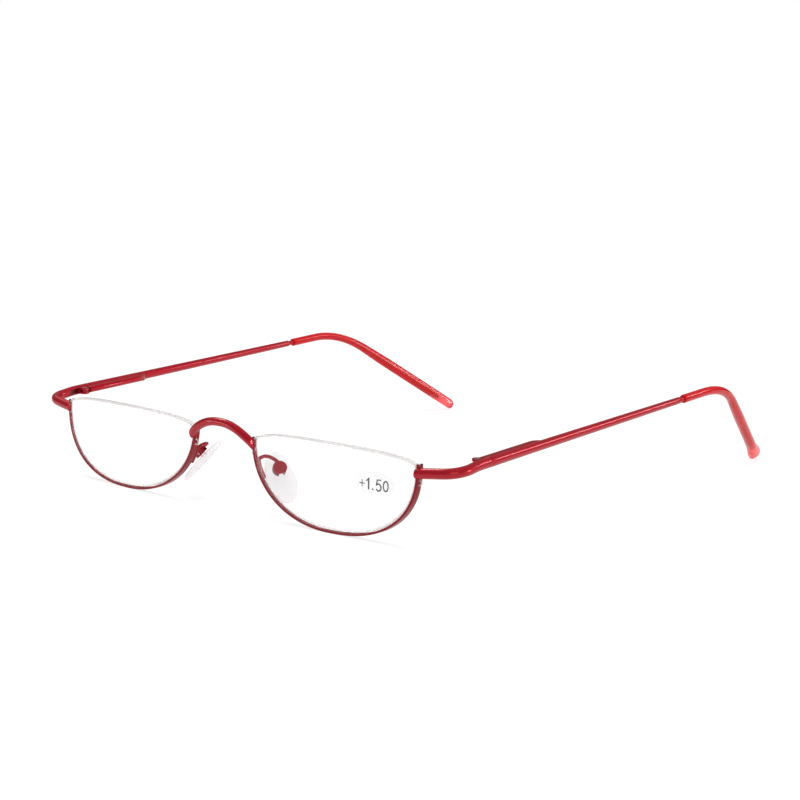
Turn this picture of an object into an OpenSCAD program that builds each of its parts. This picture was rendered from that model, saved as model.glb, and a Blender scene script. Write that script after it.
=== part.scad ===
// Half-rim reading glasses, open and standing on the rim bottoms and the temple tips.
// Millimetres, +Z up. The front faces -Y and the temples run to +Y. Left and right are the
// wearer's, so left is +X. Every paired piece is drawn on the left and mirrored.

/* [Rims] */
// Width of one rim, wire centre to wire centre
rim_w = 48.2; // [45:0.1:52]
// Gap between the two rims at the nose, wire centre to wire centre
nose_gap = 19.7; // [17:0.1:23]
// Height of the rim's widest line above its bottom wire centre
rim_drop = 17.8; // [16:0.1:20]
// Thickness of the rim bar, seen from the front
rim_t = 0.55; // [0.5:0.05:0.7]
// Depth of the rim bar, front to back
rim_depth = 1.7; // [1.5:0.1:2.2]
// Roundness of the rim on its temple side, 2 is an ellipse
temple_power = 2.4; // [2:0.1:2.8]
// Roundness of the rim on its nose side
nose_power = 2.1; // [2:0.1:2.6]
// Height of the rim end above the widest line, temple side
rim_end_temple = 0.7; // [0.4:0.1:1.4]
// Height of the rim end above the widest line, nose side
rim_end_nose = 0.5; // [0.2:0.1:1]
// Width of the channel along the rim's inner side
channel_w = 0.8; // [0.7:0.05:0.9]
// Depth of that channel
channel_depth = 0.2; // [0.1:0.05:0.25]
// Angle by which each rim turns back towards its temple
wrap_angle = 2.5; // [0:0.5:6]
// Radius of the curve that the front follows
base_r = 285; // [150:5:400]

/* [Lenses] */
// Height of the lens top above the rim's widest line
lens_rise = 2.4; // [1.8:0.1:4]
// Roundness of the lens top, more is squarer
top_power = 2.6; // [2.2:0.1:4]
// Thickness of the lens at its edge
lens_t = 2.1; // [1.9:0.1:2.6]
// Bulge of the lens front at its middle
lens_bulge = 0.6; // [0.2:0.1:1.2]
// Space between rim and lens edge, which the liner fills
seat_gap = 0.15; // [0.1:0.05:0.3]
// Width of the groove round the lens edge
groove_w = 0.6; // [0.55:0.05:0.7]
// Depth of the groove round the lens edge
groove_depth = 0.5; // [0.45:0.05:0.6]
// Width of the bevel along both lens edges
bevel = 0.25; // [0.1:0.05:0.35]
// Diameter of the nylon cord over the lens top
cord_d = 0.5; // [0.4:0.05:0.5]
// Height of the lower cord hole below the widest line
cord_hole_low = 4; // [4:0.1:4.6]
// Distance between the two cord holes at a rim end
cord_hole_step = 1.2; // [1:0.1:1.3]
// How far the cord loop stands out of the rim
cord_loop = 0.55; // [0.45:0.05:0.8]

/* [Bridge] */
// Diameter of the bridge wire
bridge_d = 2.0; // [1.6:0.1:2.4]
// Height of the arch from its ends to its top
bridge_arch = 4.05; // [3:0.05:6]
// Height of the arch ends below the widest line, wire centre
bridge_low = 1.2; // [0.8:0.1:1.5]
// How far the top of the arch stands in front of its ends
bridge_reach = 0.95; // [0.2:0.05:2.5]
// How far the bridge wire's centre lies in front of the rims, where it laps them
bridge_front = 0.2; // [0:0.05:0.4]
// How far bridge and end pieces reach past the rim, towards the lens
lap_over = 0.1; // [0:0.05:0.2]

/* [End pieces] */
// Diameter of the end piece rod
rod_d = 2.4; // [2.2:0.1:2.6]
// Height of the rod centre below the widest line, where it meets the rim
rod_low = 1.3; // [1.2:0.1:1.4]
// How far the rod's centre lies behind the rim's front, where it laps it
rod_back = 0.5; // [0.3:0.05:0.7]
// Distance from the widest point of the rim to the hinge screw, sideways
hinge_out = 7.3; // [6.5:0.1:8]
// Distance from the rim's front to the hinge screw
hinge_back = 13.4; // [12:0.1:15]
// Height of the hinge screw's middle above the widest line
hinge_up = 0.8; // [0.4:0.1:1.4]
// Distance from the hinge screw back to the bend of the rod
corner_back = 9.2; // [8.8:0.1:10]
// Length of the rod on either side of its bend's corner
bend_leg = 4.2; // [3:0.1:4.4]
// How far the bend dips below the temple's line
corner_dip = 0.5; // [0:0.1:0.8]

/* [Hinges] */
// Distance from the hinge screw's centre to the temple's centre line
hinge_offset = 2.3; // [2.25:0.05:2.6]
// Height of the hinge
hinge_h = 1.6; // [1.5:0.05:1.8]
// Length of the foot that joins the fork to the rod, in front of the ears
foot_len = 4.4; // [3:0.1:5]
// Height of the foot
foot_h = 1.3; // [1:0.1:1.5]
// Thickness of the foot
foot_t = 0.3; // [0.2:0.05:0.4]
// Depth of the foot's face below the rod's inner side
foot_sink = 0.4; // [0.2:0.05:0.5]
// Radius of the two ears round the screw
ear_r = 1.05; // [1:0.05:1.15]
// Distance from the screw's centre to the joint between end piece and temple
joint_y = 1.35; // [1.3:0.05:1.6]
// Gap in that joint
joint_gap = 0.12; // [0.1:0.02:0.2]
// Diameter of the hinge screw's shank
screw_d = 0.8; // [0.7:0.02:0.84]
// Diameter of the hinge screw's head
screw_head_d = 1.3; // [1.1:0.05:1.4]
// Height of the hinge screw's head
screw_head_h = 0.3; // [0.25:0.01:0.32]
// Thickness of the slider's eye, between the two ears
eye_t = 0.6; // [0.58:0.01:0.66]
// Radius of the slider's eye
eye_r = 0.85; // [0.75:0.05:0.9]
// Running clearance of turning and sliding parts, on each side
fit_gap = 0.03; // [0.02:0.01:0.05]
// Length of the spring box
box_len = 20; // [18:0.5:24]
// Length of the box's tail, which runs into the temple
box_tail = 5; // [3:0.5:7]
// Diameter of the slider's rod
slide_d = 0.56; // [0.5:0.02:0.58]
// Length of the slider, from the screw's centre to the end of its rod
slider_len = 13.2; // [12:0.1:14]
// Diameter of the bore in the spring box
chamber_d = 1.16; // [1.1:0.02:1.2]
// Depth of that bore
chamber_len = 14.3; // [14:0.1:15.5]
// Length of the bush at the mouth of the bore
bush_len = 1.4; // [1:0.1:2]
// Length of the nut that holds the spring on the slider
nut_len = 0.9; // [0.6:0.1:1.2]
// Diameter of the spring's wire
spring_wire_d = 0.16; // [0.12:0.01:0.18]
// Number of turns of the spring
spring_turns = 10; // [6:1:12]

/* [Temples] */
// Diameter of the temple at the hinge
temple_d_front = 2.4; // [2.2:0.1:2.6]
// Diameter of the temple at its rear end
temple_d_rear = 1.66; // [1.5:0.02:1.9]
// Distance from the hinge screw to the rear end of the metal tube
temple_len = 75.8; // [68:0.1:82]
// Angle by which each temple runs inwards
toe_in = 0.8; // [0:0.1:2]
// Diameter of the core wire
core_d = 1.2; // [1:0.05:1.24]
// Length of core wire inside the tube
core_grip = 9; // [6:0.5:14]
// Length of bare core wire between tube and tip
core_bare = 1.6; // [1:0.1:3]
// Diameter of the tip at its mouth
tip_d = 2.1; // [1.9:0.05:2.3]
// Diameter of the tip at its round end
tip_end_d = 2.9; // [2.6:0.1:3.6]
// Straight length of the tip before its bend
tip_lead = 9.3; // [6:0.1:12]
// Radius of the tip's bend
tip_bend_r = 27; // [22:0.5:34]
// Angle of the tip's bend
tip_bend = 40; // [32:0.5:46]
// Angle by which the bend leans inwards
tip_lean = 25; // [10:1:35]
// Length of the tip after its bend, to the centre of its round end
tip_tail = 35.2; // [30:0.1:42]
// Length of plastic behind the end of the core wire
tip_solid = 7; // [4:0.5:12]

/* [Nose pads] */
// Length of a nose pad
pad_len = 13.5; // [12:0.1:15]
// Width of a nose pad
pad_w = 7; // [6:0.1:8]
// Thickness of a nose pad
pad_t = 1.7; // [1.4:0.1:2]
// Distance of the pad's middle from the nose's middle line
pad_out = 13.55; // [13:0.05:14.5]
// Distance of the pad's middle behind the rim's front
pad_back = 6.35; // [6:0.05:7]
// Height of the pad's middle below the widest line
pad_low = 9.2; // [8.6:0.1:9.8]
// Outward lean of the pad's lower end
pad_flare = 42; // [36:1:46]
// Turn of the pad's face towards the back
pad_splay = 36; // [30:1:40]
// Roll of the pad
pad_roll = 11.5; // [6:0.5:14]
// Distance of the pad box above the pad's middle, along the pad
box_up = 1.3; // [0.8:0.1:1.8]
// Diameter of the pad box
pad_box_d = 3.3; // [3:0.1:3.6]
// Depth of the pad box
pad_box_h = 1.5; // [1.45:0.05:1.7]
// Space between pad box and pad
pad_gap = 0.3; // [0.25:0.05:0.4]
// Diameter of the pad screw's shank
pad_screw_d = 0.6; // [0.5:0.05:0.64]
// Diameter of the wire arm that carries the pad
arm_d = 0.85; // [0.7:0.05:1]

/* [Hidden] */

metal = [0.72, 0.07, 0.12];
steel = [0.75, 0.75, 0.77];
clear = [0.85, 0.92, 0.93, 0.35];
red_plastic = [0.85, 0.15, 0.18, 0.8];

// Rim and lens outline
eye_x = (nose_gap + rim_w) / 2;
wide_z = rim_t / 2 + rim_drop;
curve_z = 0.55 * wide_z;
lens_inset = rim_t / 2 + seat_gap;
outline_rise = lens_rise + lens_inset;
low_steps = 48;
top_steps = 26;
rim_mid_y = rim_depth / 2;
lens_front = (rim_depth - lens_t) / 2;
rim_temple_x = eye_x + rim_w / 2;
rim_nose_x = eye_x - rim_w / 2;
round_side = 48;
lap_gap = 0.04;

// Hinge place and the temple's rise, which puts the tip ends on the surface
screw_at = [rim_temple_x + hinge_out, hinge_back, wide_z + hinge_up];
mouth_y = temple_len + core_bare;
bend_end = [tip_bend_r * (1 - cos(tip_bend)), tip_bend_r * sin(tip_bend)];
tip_drop = (bend_end[0] + tip_tail * sin(tip_bend)) * cos(tip_lean);
tip_reach = mouth_y + tip_lead + bend_end[1] + tip_tail * cos(tip_bend);
rise = asin((tip_end_d / 2 - screw_at[2]) / norm([tip_reach, tip_drop]))
    + atan2(tip_drop, tip_reach);

// Middle of the depth, from the front of the bridge to the ends of the tips
bridge_end_y = face_y(rim_nose_x, wide_z - bridge_low) - bridge_front;
front_most = bridge_end_y - bridge_reach - bridge_d / 2;
rear_most = screw_at[1] + tip_reach * cos(rise) + tip_drop * sin(rise) + tip_end_d / 2;
mid_y = (front_most + rear_most) / 2;

// Curves that the pieces share
function swell(v, p) = sign(v) * pow(abs(v), 2 / p);

// Point of the eye's outline: 0 is the temple side, 90 the bottom, 180 the nose side, 270 the top
function outline(t) =
    let (c = cos(t), s = sin(t))
    let (p = s < 0 ? top_power : c > 0 ? temple_power : nose_power)
    [eye_x + rim_w / 2 * swell(c, p), wide_z - (s < 0 ? outline_rise : rim_drop) * swell(s, p)];

function outward(t) =
    let (d = outline(t + 0.5) - outline(t - 0.5))
    [-d[1], d[0]] / norm(d);

// Depth of the rim's front over a point of the front view
function face_y(x, z) =
    tan(wrap_angle) * (x - eye_x) + (pow(x - eye_x, 2) + pow(z - curve_z, 2)) / (2 * base_r);

function on_face(q, depth) = [q[0], face_y(q[0], q[1]) + depth, q[1]];

function unit(v) = v / norm(v);

// Point of the left hinge's own frame, x outwards, y along the temple, z along the screw
function from_hinge(p) =
    let (q = [p[0] * cos(toe_in) - p[1] * sin(toe_in), p[0] * sin(toe_in) + p[1] * cos(toe_in), p[2]])
    screw_at + [q[0], q[1] * cos(rise) - q[2] * sin(rise), q[1] * sin(rise) + q[2] * cos(rise)];

function bend(a, b, c, steps) =
    [for (i = [0:steps]) let (t = i / steps) (1 - t) * (1 - t) * a + 2 * t * (1 - t) * b + t * t * c];

function along(path, i) = unit(path[min(i + 1, len(path) - 1)] - path[max(i - 1, 0)]);

// Rings of a round bar along a path, with a radius for each point
function round_rings(path, radii, sides, side_way) = [
    for (i = [0:len(path) - 1])
        let (u = unit(cross(along(path, i), side_way)), v = cross(u, along(path, i)))
        [for (k = [0:sides - 1]) let (a = 360 * (k + 0.5) / sides) path[i] + radii[i] * (cos(a) * u + sin(a) * v)]
];

// Closed solid through rings of points
module skin(rings) {
    n = len(rings[0]);
    m = len(rings);
    sides = [
        for (i = [0:m - 2], j = [0:n - 1])
            let (k = (j + 1) % n)
            each [[i * n + j, i * n + k, (i + 1) * n + k], [i * n + j, (i + 1) * n + k, (i + 1) * n + j]]
    ];
    first = [for (j = [0:n - 1]) n - 1 - j];
    last = [for (j = [0:n - 1]) (m - 1) * n + j];
    polyhedron([for (r = rings) each r], concat(sides, [first, last]), convexity = 6);
}

module bar(path, d, sides, side_way) {
    skin(round_rings(path, [for (p = path) d / 2], sides, side_way));
}

// Places what is drawn for the left side, on the left or mirrored to the right
module side(right) {
    translate([0, -mid_y, 0])
        mirror([right ? 1 : 0, 0, 0])
            children();
}

// Puts a piece drawn in the left hinge's frame where it belongs
module at_hinge() {
    translate(screw_at)
        rotate([rise, 0, 0])
            rotate([0, 0, toe_in])
                children();
}

// Cylinder along the temple, in the hinge's frame
module lengthwise(x, y0, y1, d0, d1) {
    translate([x, y0, 0])
        rotate([-90, 0, 0])
            cylinder(h = y1 - y0, d1 = d0, d2 = d1, $fn = round_side);
}

// Half rim: a bar with a channel on its inner side, and two cord holes at each end
function rim_path() = concat(
    [[outline(0) + [0, rim_end_temple], [1, 0]]],
    [for (i = [0:low_steps]) [outline(180 * i / low_steps), outward(180 * i / low_steps)]],
    [[outline(180) + [0, rim_end_nose], [-1, 0]]]
);

function rim_section() =
    let (h = rim_t / 2, c0 = rim_mid_y - channel_w / 2, c1 = rim_mid_y + channel_w / 2, f = channel_depth - h)
    [[h, rim_depth], [-h, rim_depth], [-h, c1], [f, c1], [f, c0], [-h, c0], [-h, 0], [h, 0]];

module rim(right) {
    color(metal)
        side(right)
            difference() {
                skin([for (p = rim_path()) [for (s = rim_section()) on_face(p[0], s[1]) + s[0] * [p[1][0], 0, p[1][1]]]]);
                for (t = [0, 180], k = [0, 1])
                    cord_hole(t, k);
            }
}

// Place of a cord hole: end 0 is the temple side, end 180 the nose side
function cord_hole_at(t, k) =
    let (z = wide_z - cord_hole_low + k * cord_hole_step)
    let (x = t == 0 ? rim_temple_x : rim_nose_x)
    [x, face_y(x, z) + rim_mid_y, z];

module cord_hole(t, k) {
    translate(cord_hole_at(t, k) - [rim_t * 2, 0, 0])
        rotate([0, 90, 0])
            cylinder(h = rim_t * 4, d = cord_d + 4 * fit_gap, $fn = round_side);
}

// Lens with a groove all round its edge
function lens_ring(inset, depth) = [
    for (i = [0:low_steps + top_steps - 1])
        let (t = i < low_steps ? 180 * i / low_steps : 180 + 180 * (i - low_steps) / top_steps)
        on_face(outline(t) - (lens_inset + inset) * outward(t), lens_front + depth)
];

function lens_inner(ring, f, bulge) =
    let (c = [eye_x, 0, wide_z - 0.4 * rim_drop])
    [
        for (p = ring)
            let (q = [c[0] + f * (p[0] - c[0]), c[2] + f * (p[2] - c[2])])
            [q[0], p[1] - face_y(p[0], p[2]) + face_y(q[0], q[1]) - bulge * (1 - f * f), q[1]]
    ];

module lens(right) {
    edge = lens_ring(bevel, 0);
    rear = lens_ring(bevel, lens_t);
    g0 = (lens_t - groove_w) / 2;
    g1 = (lens_t + groove_w) / 2;
    color(clear)
        side(right)
            skin(concat(
                [for (f = [0.04, 0.4, 0.75]) lens_inner(rear, f, 0)],
                [rear, lens_ring(0, lens_t - bevel), lens_ring(0, g1), lens_ring(groove_depth, g1)],
                [lens_ring(groove_depth, g0), lens_ring(0, g0), lens_ring(0, bevel), edge],
                [for (f = [0.75, 0.4, 0.04]) lens_inner(edge, f, lens_bulge)]
            ));
}

// Clear liner between the rim's channel and the lens groove, below the cord holes
liner_steps = [for (i = [0:low_steps]) if (outline(180 * i / low_steps)[1] < wide_z - cord_hole_low - cord_d) i];

module liner(right) {
    out = rim_t / 2 - channel_depth;
    in = lens_inset + groove_depth - fit_gap;
    half = groove_w / 2 - fit_gap;
    section = [[-out, rim_mid_y + half], [-in, rim_mid_y + half], [-in, rim_mid_y - half], [-out, rim_mid_y - half]];
    color(clear)
        side(right)
            skin([
                for (i = liner_steps)
                    let (t = 180 * i / low_steps)
                    [for (s = section) on_face(outline(t) + s[0] * outward(t), s[1])]
            ]);
}

// Nylon cord: in the groove over the lens top, and looped through the holes of both rim ends
cord_sink = lens_inset + groove_depth - cord_d / 2 - fit_gap;

function in_groove(t) = on_face(outline(t) - cord_sink * outward(t), rim_mid_y);

function cord_end(t) =
    let (w = t == 0 ? [1, 0, 0] : [-1, 0, 0], high = cord_hole_at(t, 1), low = cord_hole_at(t, 0))
    let (outer = rim_t / 2 + cord_loop, turn = 0.4)
    let (entry = [high[0] - cord_sink * w[0], high[2]])
    concat(
        bend(on_face(entry + [0, 3 * turn], rim_mid_y), on_face(entry, rim_mid_y), high, 4),
        [high + rim_t / 2 * w],
        bend(high + outer * w - [0, 0, turn], (high + low) / 2 + (outer + 0.1) * w, low + outer * w + [0, 0, turn], 2),
        [low + rim_t / 2 * w, low - (rim_t / 2 + seat_gap) * w]
    );

function reversed(p) = [for (i = [len(p) - 1:-1:0]) p[i]];

module cord(right) {
    over_top = [for (i = [0:top_steps]) in_groove(180 + 180 * i / top_steps)];
    path = concat(reversed(cord_end(180)), [in_groove(178)], over_top, [in_groove(2)], cord_end(0));
    color(clear)
        side(right)
            bar(path, cord_d, 8, [0, 1, 0]);
}

// Arched bridge wire, which laps over the front of both rims
bridge_half = rim_nose_x + rim_t / 2 + lap_over;

module bridge() {
    steps = 30;
    notch_y = face_y(rim_nose_x, wide_z - bridge_low) - lap_gap;
    path = [
        for (i = [-1:steps + 1])
            let (u = 2 * i / steps - 1)
            [
                bridge_half * u,
                bridge_end_y - bridge_reach * (1 - pow(u, 4)),
                wide_z - bridge_low + bridge_arch * (1 - pow(abs(u), 2.25))
            ]
    ];
    color(metal)
        side(false)
            difference() {
                bar(path, bridge_d, 14, [0, 1, 0]);
                for (m = [0, 1])
                    mirror([m, 0, 0]) {
                        translate([bridge_half, -bridge_d * 2, 0])
                            cube([bridge_d * 2, bridge_d * 4, wide_z * 2]);
                        translate([rim_nose_x - rim_t / 2, notch_y, 0])
                            cube([bridge_d * 2, bridge_d * 2, wide_z * 2]);
                    }
            }
}

// End piece: a rod from the rim's outer side, round the corner to the hinge
rod_front = face_y(rim_temple_x, wide_z - rod_low);
rod_start = [rim_temple_x, rod_front + rod_back, wide_z - rod_low];
rod_end = from_hinge([hinge_offset, joint_y - joint_gap, 0]);
rod_corner = from_hinge([hinge_offset, -corner_back, 0]) - [0, 0, corner_dip];
rod_bend_in = rod_corner + bend_leg * unit(rod_start - rod_corner);
rod_bend_out = rod_corner + bend_leg * unit(rod_end - rod_corner);
rod_level = from_hinge([hinge_offset, -ear_r - 0.1, 0]);
rod_blend = from_hinge([hinge_offset, -ear_r - 1.7, 0]);

// Box along the foot of the hinge fork, which is let into the rod's inner side, in the hinge's frame
foot_rear_x = hinge_offset - rod_d / 2 + foot_sink + foot_t;
fork_web_x = eye_r + 0.1;

module foot_box(x0, y0, gap) {
    rotate([atan2(corner_dip, corner_back), 0, 0])
        translate([x0, y0 - gap, -foot_h / 2 - gap])
            cube([foot_rear_x - x0 + gap, 2 * gap - y0, foot_h + 2 * gap]);
}

module end_piece(right) {
    overrun = unit(rod_start - rod_corner);
    path = concat(
        [rod_start + rod_d * overrun, (rod_start + rod_bend_in) / 2],
        bend(rod_bend_in, rod_corner, rod_bend_out, 10),
        [for (p = bend(rod_bend_out, rod_blend, rod_level, 4)) if (p != rod_bend_out) p],
        [rod_end]
    );
    color(metal)
        side(right)
            difference() {
                bar(path, rod_d, 16, [0, 0, 1]);
                translate([rim_temple_x - rim_t / 2 - lap_over - rod_d * 2, rod_front - rod_d * 2, 0])
                    cube([rod_d * 2, rod_d * 4, wide_z * 2]);
                translate([rim_temple_x + rim_t / 2 - rod_d * 2, rod_front - lap_gap, 0])
                    cube([rod_d * 2, rod_d * 2, wide_z * 2]);
                at_hinge()
                    foot_box(0, -ear_r - foot_len, fit_gap);
            }
}

// Front half of the hinge: two ears joined by a web along the rod
module hinge_fork(right) {
    slot = eye_t + 2 * fit_gap;
    color(metal)
        side(right)
            at_hinge() {
                difference() {
                    union() {
                        cylinder(h = hinge_h, r = ear_r, center = true, $fn = round_side);
                        translate([0, -ear_r, -hinge_h / 2])
                            cube([hinge_offset, ear_r * 2, hinge_h]);
                    }
                    translate([-ear_r * 2, -ear_r * 2, -slot / 2])
                        cube([ear_r * 2 + fork_web_x, ear_r * 4, slot]);
                    cylinder(h = hinge_h * 2, d = screw_d + 2 * fit_gap, center = true, $fn = round_side);
                    translate([0, 0, hinge_h / 2 - screw_head_h])
                        cylinder(h = hinge_h, d = screw_head_d + 2 * fit_gap, $fn = round_side);
                    lengthwise(hinge_offset, -ear_r * 2, ear_r * 2, rod_d, rod_d);
                }
                foot_box(foot_rear_x - foot_t, -ear_r - foot_len, 0);
                foot_box(fork_web_x, -ear_r, 0);
            }
}

// Hinge screw, with its head sunk in the upper ear
module hinge_screw(right) {
    head_z = hinge_h / 2 - screw_head_h + fit_gap;
    color(steel)
        side(right)
            at_hinge()
                difference() {
                    union() {
                        translate([0, 0, -hinge_h / 2])
                            cylinder(h = hinge_h / 2 + head_z + 0.1, d = screw_d, $fn = round_side);
                        translate([0, 0, head_z])
                            cylinder(h = screw_head_h - 2 * fit_gap, d = screw_head_d, $fn = round_side);
                    }
                    translate([0, 0, hinge_h / 2])
                        cube([screw_head_d * 2, screw_head_d / 6, screw_head_h], center = true);
                }
}

// Slider: an eye on the screw and a rod that runs into the spring box
module slider(right) {
    color(steel)
        side(right)
            at_hinge()
                difference() {
                    union() {
                        cylinder(h = eye_t, r = eye_r, center = true, $fn = round_side);
                        lengthwise(0, eye_r / 2, slider_len, slide_d, slide_d);
                    }
                    cylinder(h = eye_t * 2, d = screw_d + 2 * fit_gap, center = true, $fn = round_side);
                }
}

// Nut at the end of the slider's rod, which holds the spring
module slider_nut(right) {
    color(steel)
        side(right)
            at_hinge()
                difference() {
                    lengthwise(0, slider_len - nut_len, slider_len, chamber_d - 4 * fit_gap, chamber_d - 4 * fit_gap);
                    lengthwise(0, slider_len - 2 * nut_len, slider_len + nut_len, slide_d, slide_d);
                }
}

bush_end = joint_y + 0.05 + bush_len;

// Bush at the mouth of the spring box, in which the slider runs
module bush(right) {
    color(steel)
        side(right)
            at_hinge()
                difference() {
                    lengthwise(0, bush_end - bush_len, bush_end, chamber_d, chamber_d);
                    lengthwise(0, 0, bush_end * 2, slide_d + 2 * fit_gap, slide_d + 2 * fit_gap);
                }
}

// Spring between bush and nut
module spring(right) {
    coil_r = (chamber_d + slide_d) / 4;
    y0 = bush_end + spring_wire_d / 2 + fit_gap;
    y1 = slider_len - nut_len - spring_wire_d / 2 - fit_gap;
    path = [
        for (i = [0:8 * spring_turns])
            let (a = 45 * i)
            [coil_r * cos(a), y0 + (y1 - y0) * i / (8 * spring_turns), coil_r * sin(a)]
    ];
    color(steel)
        side(right)
            at_hinge()
                bar(path, spring_wire_d, 6, [0, 1, 0]);
}

// Spring box, brazed along the inner side of the temple tube
module spring_box(right) {
    box_end = joint_y + box_len;
    tail_y = box_end - box_tail;
    outer_x = hinge_offset - temple_d_front / 4;
    half = hinge_h / 2;
    tail = [for (i = [0:6]) let (u = i / 6) [(outer_x + half) * (1 - cos(90 * u)) - half, tail_y + box_tail * sin(90 * u)]];
    color(metal)
        side(right)
            at_hinge()
                difference() {
                    intersection() {
                        translate([0, 0, -hinge_h])
                            linear_extrude(hinge_h * 2)
                                polygon(concat([[outer_x, joint_y], [-half, joint_y]], tail));
                        union() {
                            lengthwise(0, joint_y, box_end, hinge_h, hinge_h);
                            translate([0, joint_y, -half])
                                cube([outer_x, box_len, hinge_h]);
                        }
                    }
                    lengthwise(0, joint_y - 1, joint_y + chamber_len, chamber_d, chamber_d);
                    tube_solid();
                }
}

// Outer shape of the temple tube
module tube_solid() {
    lengthwise(hinge_offset, joint_y, temple_len, temple_d_front, temple_d_rear);
}

module temple_tube(right) {
    color(metal)
        side(right)
            at_hinge()
                difference() {
                    tube_solid();
                    lengthwise(hinge_offset, temple_len - core_grip, temple_len + 1, core_d + fit_gap, core_d + fit_gap);
                }
}

// Centre line of the temple behind the tube, in the hinge's frame
tip_way = [-sin(tip_lean), 0, -cos(tip_lean)];

function tip_point(s) =
    let (bend_len = tip_bend_r * tip_bend * PI / 180, a = min(max(s - tip_lead, 0) / tip_bend_r * 180 / PI, tip_bend))
    let (rest = max(s - tip_lead - bend_len, 0))
    [hinge_offset, mouth_y + min(s, tip_lead), 0]
        + tip_bend_r * (sin(a) * [0, 1, 0] + (1 - cos(a)) * tip_way)
        + rest * (cos(tip_bend) * [0, 1, 0] + sin(tip_bend) * tip_way);

tip_len = tip_lead + tip_bend_r * tip_bend * PI / 180 + tip_tail + tip_end_d / 2;
tip_square = [cos(tip_lean), 0, -sin(tip_lean)];

// Core wire, from inside the tube to near the end of the tip
module core_wire(right) {
    steps = 20;
    path = concat(
        [[hinge_offset, temple_len - core_grip + fit_gap, 0]],
        [for (i = [0:steps]) tip_point((tip_len - tip_solid) * i / steps)]
    );
    color(steel)
        side(right)
            at_hinge()
                bar(path, core_d, 10, tip_square);
}

// Radius of the tip at a distance from its mouth: it swells towards its round end
function tip_radius(s) =
    let (swollen = tip_d / 2 + (tip_end_d - tip_d) / 2 * pow(s / tip_len, 4), left = tip_len - s)
    let (r = tip_end_d / 2)
    left > r ? swollen : swollen * sqrt(max(1 - pow((r - left) / r, 2), 0.03));

// Tip sleeve over the core wire
module temple_tip(right) {
    steps = 20;
    nose = tip_end_d / 2;
    stations = concat([for (i = [0:steps]) (tip_len - nose) * i / steps], [for (a = [30, 55, 75, 90]) tip_len - nose + nose * sin(a)]);
    hollow = concat([-1], [for (i = [0:steps]) (tip_len - tip_solid) * i / steps], [tip_len - tip_solid + 0.3]);
    color(red_plastic)
        side(right)
            at_hinge()
                difference() {
                    skin(round_rings([for (s = stations) tip_point(s)], [for (s = stations) tip_radius(s)], 14, tip_square));
                    bar([for (s = hollow) s < 0 ? tip_point(0) - [0, 1, 0] : tip_point(s)], core_d + 2 * fit_gap, 10, tip_square);
                }
}

// Frame of the left nose pad: x out of the pad's back, y across it, z up along it
pad_at = [pad_out, pad_back, wide_z - pad_low];
box_floor = pad_t / 2 + pad_gap;

module at_pad() {
    translate(pad_at)
        rotate([pad_roll, -pad_flare, -pad_splay])
            children();
}

function from_pad(p) =
    let (a = [p[0], p[1] * cos(pad_roll) - p[2] * sin(pad_roll), p[1] * sin(pad_roll) + p[2] * cos(pad_roll)])
    let (b = [a[0] * cos(pad_flare) - a[2] * sin(pad_flare), a[1], a[0] * sin(pad_flare) + a[2] * cos(pad_flare)])
    pad_at + [b[0] * cos(pad_splay) + b[1] * sin(pad_splay), b[1] * cos(pad_splay) - b[0] * sin(pad_splay), b[2]];

lug_w = 1.1;
lug_r = pad_screw_d / 2 + 0.24;
screw_x = box_floor + 0.6;

// Pad box: a round cup whose slot holds the pad's lug
module pad_box(right) {
    color(metal)
        side(right)
            at_pad()
                translate([0, 0, box_up])
                    difference() {
                        translate([box_floor, 0, 0])
                            rotate([0, 90, 0])
                                cylinder(h = pad_box_h, d = pad_box_d, $fn = round_side);
                        translate([box_floor - 1, -lug_w / 2 - fit_gap * 2, -pad_box_d])
                            cube([screw_x + lug_r + 0.07 - box_floor + 1, lug_w + fit_gap * 4, pad_box_d * 2]);
                        pad_screw_hole(pad_box_d * 2);
                    }
}

module pad_screw_hole(length) {
    translate([screw_x, 0, 0])
        rotate([90, 0, 0])
            cylinder(h = length, d = pad_screw_d + 2 * fit_gap, center = true, $fn = round_side);
}

module pad_screw(right) {
    color(steel)
        side(right)
            at_pad()
                translate([screw_x, 0, box_up])
                    rotate([90, 0, 0])
                        cylinder(h = pad_box_d - 0.3, d = pad_screw_d, center = true, $fn = round_side);
}

// Nose pad: a soft drop-shaped pad with a lug on its back
function pad_ring(f, x) = [
    for (k = [0:19])
        let (a = 18 * k, drop = 1 - 0.14 * sin(a))
        [x, pad_w / 2 * f * cos(a) * drop, pad_len / 2 * f * sin(a)]
];

module nose_pad(right) {
    layers = [[0.1, 0.5], [0.45, 0.47], [0.8, 0.34], [0.97, 0.15], [1, -0.08], [0.9, -0.32], [0.6, -0.46], [0.1, -0.5]];
    color(clear)
        side(right)
            at_pad()
                union() {
                    skin([for (l = layers) pad_ring(l[0], l[1] * pad_t)]);
                    translate([0, 0, box_up])
                        difference() {
                            union() {
                                translate([0, -lug_w / 2, -lug_r])
                                    cube([screw_x, lug_w, lug_r * 2]);
                                translate([screw_x, 0, 0])
                                    rotate([90, 0, 0])
                                        cylinder(h = lug_w, r = lug_r, center = true, $fn = round_side);
                            }
                            pad_screw_hole(lug_w * 2);
                        }
                }
}

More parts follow.
